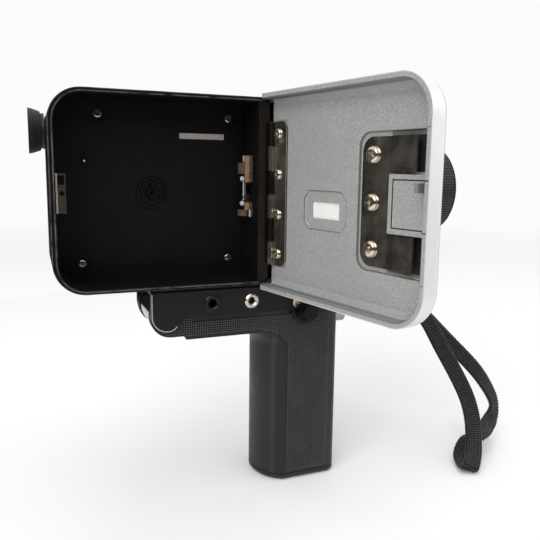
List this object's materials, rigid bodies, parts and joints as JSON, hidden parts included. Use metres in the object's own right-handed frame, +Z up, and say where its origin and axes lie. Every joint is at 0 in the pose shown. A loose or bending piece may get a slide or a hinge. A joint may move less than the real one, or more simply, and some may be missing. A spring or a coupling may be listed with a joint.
{
  "type": "movie camera",
  "caption": "Cartridge movie camera with its film door open, standing on its swinging pistol grip, with zoom lens, eyepiece, trigger and wrist strap.",
  "frame": {"origin": "centre of the tripod bush's mouth in the grip's foot, on the surface that the camera stands on", "axes": "+X towards the lens, +Y to the camera's left, +Z up"},
  "size_m": [0.2346, 0.1403, 0.1779],
  "materials": {
    "black_body": "satin black moulding",
    "door_paint": "silver-grey paint",
    "silver_cover": "silver-grey paint",
    "steel": "polished spring steel",
    "screw_steel": "nickelled",
    "chrome": "polished",
    "copper_alloy": "bronze",
    "gilt": "gilt",
    "aluminium": "turned",
    "black_plastic": "matt",
    "black_metal": "satin black",
    "grip_plastic": "fine squared texture",
    "eyecup_rubber": "matt",
    "strap_webbing": "woven",
    "lens_glass": "coated",
    "pane": "clear",
    "board": "lacquered",
    "cell_case": "lacquered"
  },
  "bodies": {
    "camera": {"chamber_casting": "black_body", "chamber_screws": "screw_steel", "name_plate": "aluminium", "left_cover": "silver_cover", "counter_window": "pane", "front_housing": "black_body", "right_front_cover": "silver_cover", "finder_tube": "black_metal", "finder_window": "pane", "eyepiece_lens": "lens_glass", "film_gate": "steel", "gate_guides": "copper_alloy", "strike_plate": "screw_steel", "hinge_body_leaf": "steel", "hinge_pin": "screw_steel", "motor": "steel", "circuit_board": "board", "mechanism_plate": "aluminium", "lens_barrel": "black_metal", "rear_lens": "lens_glass", "saddle": "black_metal", "saddle_trim": "chrome", "remote_socket": "black_plastic", "release_socket": "chrome", "gilt_screw": "gilt", "pivot_pin": "screw_steel", "strap_lug": "chrome", "wrist_strap": "strap_webbing"},
    "eyepiece": {"diopter_ring": "black_metal", "eyecup": "eyecup_rubber"},
    "shutter": {"shutter_disc": "black_metal", "shutter_gear": "copper_alloy"},
    "motor_spindle": {"motor_shaft": "steel"},
    "take_up": {"take_up_hub": "black_plastic", "take_up_wheel": "copper_alloy"},
    "claw": {"film_claw": "steel"},
    "zoom_control": {"zoom_ring": "black_metal"},
    "zoom_lenses": {"zoom_lens_group": "lens_glass"},
    "focus": {"focus_ring": "black_metal", "front_bezel": "black_metal", "front_glass": "lens_glass"},
    "trigger_piece": {"trigger": "black_plastic"},
    "speed_control": {"speed_dial": "aluminium"},
    "exposure_control": {"exposure_dial": "aluminium"},
    "switch_knob": {"power_switch": "black_plastic"},
    "rocker_piece": {"zoom_rocker": "black_plastic"},
    "door": {"door_shell": "door_paint", "door_window": "pane", "door_hinge_leaf": "steel", "door_screws": "screw_steel", "cartridge_spring": "steel"},
    "latch": {"latch_slide": "aluminium"},
    "grip": {"grip_right_shell": "grip_plastic", "grip_left_shell": "grip_plastic", "grip_foot": "grip_plastic", "tripod_bush": "screw_steel", "hinge_barrel": "chrome", "battery_holder": "black_plastic", "battery_cells": "cell_case"},
    "grip_lock": {"lock_knob": "black_plastic"}
  },
  "joints": [
    {"name": "door_hinge", "type": "hinge", "parent": "camera", "child": "door", "pos_m": [-0.0184, -0.0229, 0.1351], "axis": [0, 0, 1], "range_deg": [-103.5, 0]},
    {"name": "latch_travel", "type": "slide", "parent": "door", "child": "latch", "axis": [-0.2334, 0.9724, 0], "range_m": [0, 0.0012]},
    {"name": "grip_swing", "type": "hinge", "parent": "camera", "child": "grip", "pos_m": [-0.0602, 0, 0.0834], "axis": [0, 1, 0], "range_deg": [0, 95]},
    {"name": "grip_lock_turn", "type": "hinge", "parent": "camera", "child": "grip_lock", "pos_m": [0.0009, -0.02, 0.0826], "axis": [0, 1, 0], "range_deg": [0, 90]},
    {"name": "shutter_spin", "type": "hinge", "parent": "camera", "child": "shutter", "pos_m": [-0.0134, 0.0005, 0.13393], "axis": [1, 0, 0], "continuous": true},
    {"name": "motor_spin", "type": "hinge", "parent": "camera", "child": "motor_spindle", "pos_m": [-0.04, 0.0124, 0.1211], "axis": [1, 0, 0], "continuous": true},
    {"name": "take_up_spin", "type": "hinge", "parent": "camera", "child": "take_up", "pos_m": [-0.0642, 0.006, 0.1348], "axis": [0, 1, 0], "continuous": true},
    {"name": "claw_stroke", "type": "slide", "parent": "camera", "child": "claw", "axis": [0, 0, 1], "range_m": [-0.00423, 0]},
    {"name": "zoom_turn", "type": "hinge", "parent": "camera", "child": "zoom_control", "pos_m": [0.0445, -0.0109, 0.1369], "axis": [1, 0, 0], "range_deg": [-50, 50]},
    {"name": "zoom_travel", "type": "slide", "parent": "camera", "child": "zoom_lenses", "axis": [1, 0, 0], "range_m": [-0.0045, 0.0045]},
    {"name": "focus_turn", "type": "hinge", "parent": "camera", "child": "focus", "pos_m": [0.06, -0.0109, 0.1369], "axis": [1, 0, 0], "range_deg": [-110, 110]},
    {"name": "diopter_turn", "type": "hinge", "parent": "camera", "child": "eyepiece", "pos_m": [-0.108, 0.0115, 0.1601], "axis": [1, 0, 0], "range_deg": [-40, 40]},
    {"name": "trigger_pull", "type": "slide", "parent": "camera", "child": "trigger_piece", "axis": [-1, 0, 0], "range_m": [0, 0.0028], "stiffness_N_per_m": 400, "springref_m": -0.002},
    {"name": "speed_turn", "type": "hinge", "parent": "camera", "child": "speed_control", "pos_m": [-0.04, 0.028, 0.1234], "axis": [0, 1, 0], "range_deg": [-135, 135]},
    {"name": "exposure_turn", "type": "hinge", "parent": "camera", "child": "exposure_control", "pos_m": [-0.01, 0.028, 0.1234], "axis": [0, 1, 0], "range_deg": [-135, 135]},
    {"name": "switch_travel", "type": "slide", "parent": "camera", "child": "switch_knob", "axis": [1, 0, 0], "range_m": [0, 0.006]},
    {"name": "rocker_tilt", "type": "hinge", "parent": "camera", "child": "rocker_piece", "pos_m": [0.008, 0, 0.1718], "axis": [0, 1, 0], "range_deg": [-4, 4], "stiffness_Nm_per_rad": 0.05}
  ],
  "couplings": [
    {"joint": "motor_spin", "follows": "shutter_spin", "ratio": -4.8333},
    {"joint": "take_up_spin", "follows": "shutter_spin", "ratio": 0.080556},
    {"joint": "zoom_travel", "follows": "zoom_turn", "m_per_rad": 0.0051566}
  ]
}
